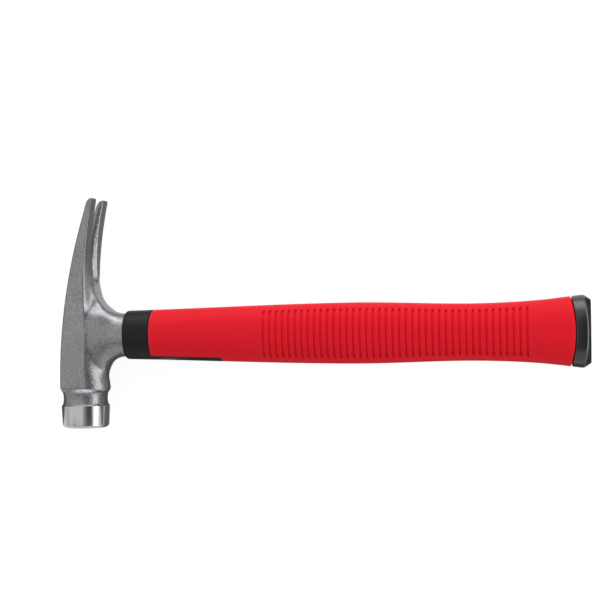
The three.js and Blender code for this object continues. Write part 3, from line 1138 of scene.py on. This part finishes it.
@dataclass(frozen=True)
class HandleOutline:
    """Outside of the handle, as a smooth curve through its stations, and where its pieces meet."""

    stations: tuple[Station, ...] = (
        Station(28.0, 29.6, 26.0),
        Station(45.2, 30.4, 26.0),
        Station(170.0, 36.2, 26.8),
        Station(242.0, 33.4, 25.6),
        Station(276.0, 36.4, 26.8),
        Station(300.0, 41.8, 29.0),
    )
    power: float = 2.3
    front_edge: float = 44.4            # collar to grip
    cap_edge: float = 294.0             # grip to butt cap, at the top and bottom
    cap_bulge: float = 2.8              # how much further back that edge lies on the sides
    strip_end: float = 88.4
    strip_depth: float = 2.4
    seam: float = 0.15                  # how far a moulding keeps from an edge that it shares

    def half_sizes(self, x: float) -> tuple[float, float]:
        """Half height and half width at a place along the handle.

        Args:
            x: Distance from the head axis.

        Returns:
            Half height and half width.
        """
        row = self.stations
        x = min(max(x, row[0].at), row[-1].at)
        i = next(k for k in range(1, len(row)) if x <= row[k].at)
        start, end = row[i - 1], row[i]
        before = row[i - 2] if i > 1 else end
        after = row[i + 1] if i + 1 < len(row) else start
        share = (x - start.at) / (end.at - start.at)
        reach = (end.at - start.at) / 2.0
        lead = reach / (start.at - before.at)
        trail = reach / (after.at - end.at)
        # Weights of a smooth curve whose slopes follow the stations on both sides.
        square, cube = share ** 2, share ** 3
        weights = (
            -lead * cube + 2.0 * lead * square - lead * share,
            (1.0 + lead) * cube + (-1.5 - 2.0 * lead) * square + (lead - 0.5) * share + 1.0,
            (-1.0 - trail) * cube + (1.5 + trail) * square + 0.5 * share,
            trail * cube - trail * square,
        )
        near = (before, start, end, after)
        height = sum(weight * station.height for weight, station in zip(weights, near))
        width = sum(weight * station.width for weight, station in zip(weights, near))
        return height / 2.0, width / 2.0

    def point(self, x: float, turn: float, wall: float = 0.0) -> Vector:
        """Point of the outside, drawn in by a wall.

        Args:
            x: Place along the handle.
            turn: Angle round the section from the top.
            wall: How far the point is drawn in.

        Returns:
            The point.
        """
        half_height, half_width = self.half_sizes(x)
        high, wide = half_height - wall, half_width - wall
        return Vector((x, *oval(turn, high, high, wide, self.power)))

    def inward(self, x: float, turn: float) -> Vector:
        """Direction into the handle, square to its outside.

        Args:
            x: Place along the handle.
            turn: Angle round the section from the top.

        Returns:
            Direction of length 1.
        """
        half_height, half_width = self.half_sizes(x)
        high, wide = math.cos(turn), math.sin(turn)
        lean = 2.0 - 2.0 / self.power
        slope = Vector((
            0.0,
            math.copysign(abs(high) ** lean, high) / half_height,
            math.copysign(abs(wide) ** lean, wide) / half_width,
        ))
        return -slope.normalized()

    def lift(self, turn: float) -> float:
        """Height of the outside at an angle, up or down, as a share of the half height."""
        return abs(math.cos(turn)) ** (2.0 / self.power)

    def rear_edge(self, turn: float) -> float:
        """Where the grip ends and the cap begins, at an angle round the section."""
        return self.cap_edge + self.cap_bulge * (1.0 - self.lift(turn) ** 2)

    def strip_top(self, x: float) -> float:
        """Height of the strip's upper edge at a place along the handle."""
        return self.strip_depth - self.half_sizes(x)[0]


@dataclass
class SoftGrip(Piece):
    """Soft moulding over the sleeve: smooth front panel, ribbed sides and smooth flare."""

    node = "soft_grip"
    slot = Slot.RED
    finishes = (RED_ELASTOMER,)

    outline: HandleOutline
    wall: float = 1.8
    first_groove: float = 115.5
    groove_count: int = 41
    groove_pitch: float = 3.85
    groove_width: float = 1.8
    groove_floor: float = 0.5
    groove_depth: float = 1.0
    groove_end_depth: float = 1.45
    groove_end_run: float = 2.4
    groove_margin: float = 3.0
    edge_rounding: float = 1.1
    # Width of the pale pink highlight painted along the front lip.
    lip_highlight: float = 1.5

    # Ring vertices crowd together where the grooves end: between these shares of a quarter ring,
    # and this far above and below the end, in radians.
    crowd_from: float = 0.2
    crowd_to: float = 0.62
    crowd_above: float = 0.1
    crowd_below: float = 0.16
    # Sections across a groove, as shares of half its width.
    groove_sections: tuple[float, ...] = (-1.0, -0.78, -0.55, -0.3, 0.3, 0.55, 0.78, 1.0)
    panel_sections: int = 24
    inside_sections: int = 16
    flare_sections: int = 8
    flare_margin: float = 1.5           # from the sections of the flare to its neighbours
    # Cutter for the strip: how far in front of the grip it starts, and how low and wide it is.
    notch_lead: float = 3.0
    notch_low: float = -40.0
    notch_width: float = 60.0

    def spread(self, x: float, turn: float) -> float:
        """Angle for a ring vertex, crowded together where the grooves end.

        Args:
            x: Place along the handle.
            turn: Angle of the vertex in an even ring.

        Returns:
            Angle at which the vertex is put.
        """
        half_height = self.outline.half_sizes(x)[0]
        end = math.acos((1.0 - self.groove_margin / half_height) ** (self.outline.power / 2.0))
        quarter, share = divmod(turn / QUARTER_TURN, 1.0)
        mirrored = int(quarter) % 2 == 1
        if mirrored:
            share = 1.0 - share
        above, below = end - self.crowd_above, end + self.crowd_below
        if share < self.crowd_from:
            angle = blend(0.0, above, share / self.crowd_from)
        elif share < self.crowd_to:
            angle = blend(above, below, share_of(share, self.crowd_from, self.crowd_to))
        else:
            angle = blend(below, QUARTER_TURN, share_of(share, self.crowd_to, 1.0))
        if mirrored:
            angle = QUARTER_TURN - angle
        return quarter * QUARTER_TURN + angle

    def depth(self, x: float, height: float) -> float:
        """How deep the grooves are at a point of the sides.

        Args:
            x: Place along the handle.
            height: Height of the point.

        Returns:
            Depth below the smooth outside.
        """
        number = round((x - self.first_groove) / self.groove_pitch)
        number = min(max(number, 0), self.groove_count - 1)
        across = abs(x - self.first_groove - number * self.groove_pitch)
        half_width = self.groove_width / 2.0
        straight_end = self.outline.half_sizes(x)[0] - self.groove_margin - half_width
        past_end = abs(height) - straight_end
        away = math.hypot(across, max(past_end, 0.0))
        to_end = ease(past_end, -self.groove_end_run, 0.0)
        deepest = blend(self.groove_depth, self.groove_end_depth, to_end)
        return deepest * (1.0 - ease(away, self.groove_floor / 2.0, half_width))

    def plain(self, x: float, wall: float, turn: float) -> Vector:
        """Point of the outline at a ring vertex, drawn in by a wall."""
        return self.outline.point(x, self.spread(x, turn), wall)

    def skin(self, x: float, turn: float) -> Vector:
        """Point of the outside at a ring vertex, sunk where there is a groove.

        Args:
            x: Place along the handle.
            turn: Angle of the vertex in an even ring.

        Returns:
            The point.
        """
        angle = self.spread(x, turn)
        point = self.outline.point(x, angle)
        return point + self.outline.inward(x, angle) * self.depth(x, point.y)

    def rear(self, back: float, wall: float, turn: float) -> Vector:
        """Point in front of the cap's edge by a length, drawn in by a wall."""
        angle = self.spread(self.outline.cap_edge, turn)
        return self.outline.point(self.outline.rear_edge(angle) - back, angle, wall)

    def stations(self) -> list[float]:
        """Finds places for the sections, close together across each groove.

        Returns:
            Places along the handle, from the front.
        """
        front = self.outline.front_edge + self.outline.seam + self.edge_rounding
        half = self.groove_width / 2.0
        found = steps(front, self.first_groove - self.groove_pitch / 2.0, self.panel_sections)
        for number in range(self.groove_count):
            middle = self.first_groove + number * self.groove_pitch
            found += [middle + half * share for share in self.groove_sections]
            found.append(middle + self.groove_pitch / 2.0)
        flare_end = self.outline.cap_edge - self.flare_margin
        return found + steps(found[-1] + self.flare_margin, flare_end, self.flare_sections)

    def strip_notch(self) -> Object:
        """Draws the cutter that leaves room for the strip under the front of the handle.

        Returns:
            The cutter.
        """
        bm = bmesh.new()
        bmesh.ops.create_cube(bm, size=1.0)
        start = self.outline.front_edge - self.notch_lead
        end = self.outline.strip_end + self.outline.seam
        for vert in bm.verts:
            x = start if vert.co.x < 0 else end
            top = self.outline.strip_top(x) + self.outline.seam
            vert.co = (x, top if vert.co.y > 0 else self.notch_low, vert.co.z * self.notch_width)
        return mesh_object("strip_notch", bm)

    def shape(self) -> Object:
        """Draws the inside and the outside as one hollow shell and notches it for the strip.

        Returns:
            The grip's object.
        """
        loft = Loft(RING)
        seam = self.outline.seam
        front = self.outline.front_edge + seam
        for x in reversed(steps(front, self.outline.cap_edge, self.inside_sections)[:-1]):
            loft.add(partial(self.plain, x, self.wall))
        for back, wall in rounding(self.edge_rounding, ROUND_STEPS)[:-1]:
            loft.add(partial(self.plain, front + back, wall))
        for x in self.stations():
            loft.add(partial(self.skin, x))
        for wall, back in rounding(self.edge_rounding, ROUND_STEPS):
            loft.add(partial(self.rear, seam + back, wall))
        loft.add(partial(self.rear, seam, self.wall))
        grip = mesh_object("ribbed_grip", loft.close_round())
        combine(grip, self.strip_notch(), Cut.REMOVE)
        return grip

    def painted_highlight(self, point: Vector) -> float:
        """Painted highlight along the front lip."""
        front = self.outline.front_edge + self.outline.seam
        return 1.0 - ease(point.x, front, front + self.lip_highlight)


@dataclass
class HandleSleeve(Piece):
    """Hard moulding: the collar round the socket, the strip below the grip and the tube in it."""

    node = "handle_sleeve"
    slot = Slot.BLACK
    finishes = (SATIN_POLYAMIDE,)

    outline: HandleOutline
    collar_start: float = 28.0
    collar_rounding: float = 1.3
    collar_lip: float = 1.1             # most that the front rounding draws the section in
    collar_rear_rounding: float = 0.5
    collar_seat: float = 5.6
    seat_height: float = 27.2
    seat_width: float = 23.6
    seat_chamfer_length: float = 0.4
    seat_chamfer: float = 0.6           # how much wider the seat is at its mouth
    bore_height: float = 17.6
    bore_width: float = 13.0
    tube_wall: float = 2.1
    tube_gap: float = 0.3               # to the butt cap
    strip_root: float = 2.0             # how far the strip reaches into the collar
    collar_steps: int = 6
    collar_sections: int = 8
    tube_sections: int = 20
    strip_sections: int = 24

    def strip(self) -> Object:
        """Cuts the strip below the front of the handle from the handle's outline.

        Returns:
            The strip's solid.
        """
        start, end = self.outline.front_edge, self.outline.strip_end
        loft = Loft(FINE_RING)
        for x in steps(start - self.strip_root, end, self.strip_sections):
            loft.add(partial(self.outline.point, x))
        bm = loft.close_ends()
        low = Vector((start, self.outline.strip_top(start), 0.0))
        along = Vector((end, self.outline.strip_top(end), 0.0)) - low
        cut = bmesh.ops.bisect_plane(
            bm, geom=[*bm.verts, *bm.edges, *bm.faces], plane_co=low,
            plane_no=Vector((-along.y, along.x, 0.0)), clear_outer=True,
        )["geom_cut"]
        rim = [item for item in cut if isinstance(item, bmesh.types.BMEdge)]
        bmesh.ops.edgeloop_fill(bm, edges=rim)
        bmesh.ops.recalc_face_normals(bm, faces=bm.faces)
        return mesh_object("strip", bm)

    def shape(self) -> Object:
        """Draws collar, tube and bore as one hollow shell and joins the strip to it.

        Returns:
            The sleeve's object.
        """
        outline = self.outline
        start, front = self.collar_start, outline.front_edge
        seat_end, tube_end = start + self.collar_seat, outline.cap_edge - self.tube_gap
        chamfer_end = start + self.seat_chamfer_length
        loft = Loft(RING)
        for x, more in ((seat_end, 0.0), (chamfer_end, 0.0), (start, self.seat_chamfer)):
            height, width = self.seat_height + more, self.seat_width + more
            loft.add(partial(straight, x, height, width, outline.power))
        for back, wall in rounding(self.collar_rounding, self.collar_steps):
            loft.add(partial(outline.point, start + back, wall=min(wall, self.collar_lip)))
        side_start, side_end = start + self.collar_rounding, front - self.collar_rear_rounding
        for x in steps(side_start, side_end, self.collar_sections)[1:]:
            loft.add(partial(outline.point, x))
        for wall, back in rounding(self.collar_rear_rounding, ROUND_STEPS)[1:]:
            loft.add(partial(outline.point, front - back, wall=wall))
        for x in steps(front, tube_end, self.tube_sections):
            loft.add(partial(outline.point, x, wall=self.tube_wall))
        for x in (tube_end, seat_end):
            loft.add(partial(straight, x, self.bore_height, self.bore_width, outline.power))
        sleeve = mesh_object("moulded_sleeve", loft.close_round())
        combine(sleeve, self.strip(), Cut.JOIN)
        return sleeve


@dataclass
class ButtCap(Piece):
    """Hard cap that closes the flared end of the handle."""

    node = "butt_cap"
    slot = Slot.BLACK
    finishes = (GLOSS_POLYAMIDE,)

    outline: HandleOutline
    end: float = 305.0
    front_rounding: float = 0.5
    chamfer_at_sides: float = 1.6
    chamfer_at_top: float = 4.0
    chamfer_depth: float = 2.7
    edge_rounding: float = 0.9
    # Width of the grey highlight painted along the chamfer's edge.
    chamfer_highlight: float = 0.75
    spigot_start: float = 282.0
    spigot_height: float = 17.0
    spigot_width: float = 12.4
    side_sections: int = 8
    edge_sections: int = 6

    def ring(self, behind: float, wall: float, turn: float) -> Vector:
        """Point behind the cap's front edge by a length, drawn in by a wall."""
        return self.outline.point(self.outline.rear_edge(turn) + behind, turn, wall)

    def chamfer_start(self, lift: float) -> float:
        """Where the rear chamfer begins at a height, given as a share of the half height."""
        return self.end - blend(self.chamfer_at_sides, self.chamfer_at_top, lift ** 2)

    def side(self, share: float, turn: float) -> Vector:
        """Point between the front edge and the rounded edge of the chamfer.

        Args:
            share: How far it lies from the one to the other.
            turn: Angle round the section from the top.

        Returns:
            The point.
        """
        front = self.outline.rear_edge(turn) + self.outline.seam + self.front_rounding
        rear = self.chamfer_start(self.outline.lift(turn)) - self.edge_rounding
        return self.outline.point(blend(front, rear, share), turn)

    def edge(self, share: float, turn: float) -> Vector:
        """Point of the rounded edge between the side and the chamfer.

        Args:
            share: How far it lies from the one to the other.
            turn: Angle round the section from the top.

        Returns:
            The point.
        """
        start = self.chamfer_start(self.outline.lift(turn))
        slope = Vector((self.end - start, self.chamfer_depth)).normalized()
        before = self.edge_rounding * (1.0 - share) ** 2
        past = self.edge_rounding * share ** 2
        return self.outline.point(start - before + past * slope.x, turn, past * slope.y)

    def shape(self) -> Object:
        """Draws the spigot, the front edge, the side, the chamfer and the flat end.

        Returns:
            The cap's object.
        """
        outline = self.outline
        loft = Loft(FINE_RING)
        for x in (self.spigot_start, outline.cap_edge):
            loft.add(partial(straight, x, self.spigot_height, self.spigot_width, outline.power))
        for back, wall in rounding(self.front_rounding, ROUND_STEPS):
            loft.add(partial(self.ring, outline.seam + back, wall))
        for share in steps(0.0, 1.0, self.side_sections)[1:]:
            loft.add(partial(self.side, share))
        for share in steps(0.0, 1.0, self.edge_sections)[1:]:
            loft.add(partial(self.edge, share))
        loft.add(partial(outline.point, self.end, wall=self.chamfer_depth))
        return mesh_object("end_cap", loft.close_ends())

    def painted_highlight(self, point: Vector) -> float:
        """Painted highlight along the edge between the side and the chamfer."""
        lift = min(abs(point.y) / self.outline.half_sizes(point.x)[0], 1.0)
        return 1.0 - ease(abs(point.x - self.chamfer_start(lift)), 0.0, self.chamfer_highlight)


# Studio


@dataclass(frozen=True)
class Aimed:
    """Flat thing in the studio, with its place, the place that it faces and its size in metres."""

    name: str
    place: Place
    aim: Place
    size: tuple[float, float]

    def matrix(self) -> Matrix:
        """Transform that puts it in its place and faces it towards its aim."""
        turn = (Vector(self.aim) - Vector(self.place)).to_track_quat("-Z", "Y")
        return Matrix.Translation(self.place) @ turn.to_matrix().to_4x4()


@dataclass(frozen=True)
class Softbox(Aimed):
    """Rectangular lamp with an even face."""

    watts: float

    def build(self) -> Object:
        """Puts the lamp into the scene.

        Returns:
            The lamp's object.
        """
        lamp = bpy.data.lights.new(self.name, "AREA")
        lamp.shape = "RECTANGLE"
        lamp.size, lamp.size_y = self.size
        lamp.energy = self.watts
        made = bpy.data.objects.new(self.name, lamp)
        made.matrix_world = self.matrix()
        bpy.context.scene.collection.objects.link(made)
        return made


@dataclass(frozen=True)
class Flag(Aimed):
    """Plain card that only mirrored rays see, to shape the gloss of the steel and the plastics."""

    shade: str

    def build(self) -> Object:
        """Puts the card into the scene.

        Returns:
            The card's object.
        """
        bm = bmesh.new()
        bmesh.ops.create_grid(bm, x_segments=1, y_segments=1, size=0.5)
        spread = Matrix.Diagonal((*self.size, 1.0, 1.0))
        bmesh.ops.transform(bm, matrix=self.matrix() @ spread, verts=bm.verts)
        card = mesh_object(self.name, bm)
        material = bpy.data.materials.new(self.name)
        tree = bare_tree(material)
        glow = add_node(tree, "ShaderNodeEmission", {"Color": linear_colour(self.shade)})
        add_node(tree, "ShaderNodeOutputMaterial", links={"Surface": glow.outputs["Emission"]})
        card.data.materials.append(material)
        card.visible_camera = False
        card.visible_diffuse = False
        card.visible_transmission = False
        card.visible_shadow = False
        return card


@dataclass
class Studio:
    """Pale floor, soft lamps, white surroundings and the camera of the photograph."""

    floor_size: float = 80.0
    floor_colour: str = "e6e6e6"
    backdrop_glow: float = 0.9
    backdrop_shade: float = 0.2         # how much of its light and shadow the white floor keeps
    ambient: float = 0.57
    target: Place = (-0.004675, 0.0016, 0.01465)
    distance: float = 0.775
    yaw: float = math.radians(11.5)
    roll: float = math.radians(0.7)
    lens: float = 76.09
    sensor: float = 36.0
    clip: tuple[float, float] = (0.01, 100.0)
    softboxes: tuple[Softbox, ...] = (
        Softbox("key_softbox", (-0.05, 0.95, 0.36), (0.0, 0.0, 0.0), (1.2, 0.68), 6.8),
        Softbox("side_softbox", (0.9, -0.1, 0.38), (-0.14, -0.05, 0.0), (1.2, 0.42), 4.4),
    )
    # Cards aimed straight down lie overhead, or just above the floor where the gloss mirrors it.
    flags: tuple[Flag, ...] = (
        Flag("overhead_flag", (0.445, -0.1, 0.72), (0.445, -0.1, 0.0), (0.55, 1.0), "585858"),
        Flag("overhead_veil", (0.13, -0.1, 0.72), (0.13, -0.1, 0.0), (0.08, 1.0), "969696"),
        Flag("poll_flag", (0.06, -0.062, 0.0005), (0.06, -0.062, -1.0), (0.4, 0.06), "7a7a7a"),
        Flag("claw_flag", (-0.1, 0.054, 0.0005), (-0.1, 0.054, -1.0), (0.08, 0.062), "aaaaaa"),
        Flag("front_flag", (0.0, -0.57, 0.95), (0.0, 0.0, 0.0), (2.4, 0.26), "484848"),
        Flag("ceiling_flag", (0.19, -0.12, 0.75), (0.19, -0.12, 0.0), (0.46, 0.66), "a8a8a8"),
        Flag("left_flag", (-0.95, 0.0, 0.16), (-0.15, 0.0, 0.0), (1.8, 0.4), "e2e2e2"),
        Flag("rear_flag", (-0.235, 0.012, 0.0005), (-0.235, 0.012, -1.0), (0.13, 0.17), "606060"),
        Flag("butt_flag", (0.29, -0.0135, 0.0005), (0.29, -0.0135, -1.0), (0.25, 0.2), "5a5a5a"),
        Flag("table_gap", (-0.098, -0.09, 0.001), (-0.098, -0.09, -1.0), (0.010, 0.16), "ffffff"),
    )

    def seen_directly(self, tree: Tree) -> Socket:
        """Tells rays from the camera and mirrored and refracted rays from all others.

        Args:
            tree: Node tree of the floor or the world.

        Returns:
            Socket that is 1 for those rays and 0 for the others.
        """
        path = add_node(tree, "ShaderNodeLightPath").outputs
        both = add_node(
            tree, "ShaderNodeMath", links={0: path["Is Camera Ray"], 1: path["Is Glossy Ray"]},
            operation="MAXIMUM",
        ).outputs[0]
        return add_node(
            tree, "ShaderNodeMath", links={0: both, 1: path["Is Transmission Ray"]},
            operation="MAXIMUM",
        ).outputs[0]

    def floor(self) -> Object:
        """Lays a pale floor that reads white to the camera and keeps a soft shadow.

        Returns:
            The floor's object.
        """
        bm = bmesh.new()
        bmesh.ops.create_grid(bm, x_segments=1, y_segments=1, size=self.floor_size / 2.0)
        floor = mesh_object("floor", bm)
        material = bpy.data.materials.new("matt_white_floor")
        tree = bare_tree(material)
        plain = add_node(
            tree, "ShaderNodeBsdfDiffuse", {"Color": linear_colour(self.floor_colour)},
        ).outputs["BSDF"]
        shaded = add_node(
            tree, "ShaderNodeBsdfDiffuse", {"Color": (*[self.backdrop_shade] * 3, 1.0)},
        ).outputs["BSDF"]
        white = add_node(
            tree, "ShaderNodeEmission", {"Strength": self.backdrop_glow},
        ).outputs["Emission"]
        backdrop = add_node(
            tree, "ShaderNodeAddShader", links={0: shaded, 1: white},
        ).outputs["Shader"]
        mixed = add_node(
            tree, "ShaderNodeMixShader", links={0: self.seen_directly(tree), 1: plain, 2: backdrop},
        ).outputs["Shader"]
        add_node(tree, "ShaderNodeOutputMaterial", links={"Surface": mixed})
        floor.data.materials.append(material)
        return floor

    def world(self) -> None:
        """Lights the scene evenly from all round, white where the light is seen directly."""
        world = bpy.data.worlds.new("studio_world")
        tree = bare_tree(world)
        strength = add_node(
            tree, "ShaderNodeMapRange", {"To Min": self.ambient, "To Max": 1.0},
            {"Value": self.seen_directly(tree)},
        ).outputs["Result"]
        light = add_node(
            tree, "ShaderNodeBackground", {"Color": linear_colour("ffffff")},
            {"Strength": strength},
        ).outputs["Background"]
        add_node(tree, "ShaderNodeOutputWorld", links={"Surface": light})
        bpy.context.scene.world = world

    def camera(self) -> None:
        """Sets the camera at the photograph's view, turned towards the butt and rolled a little."""
        data = bpy.data.cameras.new("camera")
        data.lens = self.lens
        data.sensor_width = self.sensor
        data.clip_start, data.clip_end = self.clip
        camera = bpy.data.objects.new("camera", data)
        aside = Vector((math.sin(self.yaw), 0.0, math.cos(self.yaw)))
        turn = Matrix.Rotation(self.yaw, 4, "Y") @ Matrix.Rotation(-self.roll, 4, "Z")
        camera.matrix_world = Matrix.Translation(Vector(self.target) + aside * self.distance) @ turn
        bpy.context.scene.collection.objects.link(camera)
        bpy.context.scene.camera = camera

    def build(self) -> None:
        """Sets the whole studio up."""
        bpy.context.scene.view_settings.view_transform = "Standard"
        self.floor()
        self.world()
        for thing in self.softboxes + self.flags:
            thing.build()
        self.camera()


def dress_inner_nodes() -> None:
    """Gives the core and its resin, which show in the eye of the head, their own finishes."""
    for node, finish in (("handle_core", FIBREGLASS), ("eye_bond", CAST_EPOXY)):
        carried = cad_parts[node]
        carried.data.materials.clear()
        carried.data.materials.append(finish.material())
        LOG.info("%s: carried over, %s", node, finish.name)


def main() -> None:
    """Builds the hammer piece by piece, then the studio."""
    logging.basicConfig(level=logging.INFO, format="%(name)s: %(message)s")
    outline = HandleOutline()
    head, cap = ForgedHead(), ButtCap(outline)
    place = MakersFrame(cap.end, head.claw_reach).matrix()
    for piece in (head, HandleSleeve(outline), SoftGrip(outline), cap):
        piece.build(place)
    dress_inner_nodes()
    Studio().build()


if __name__ == "__main__":
    main()
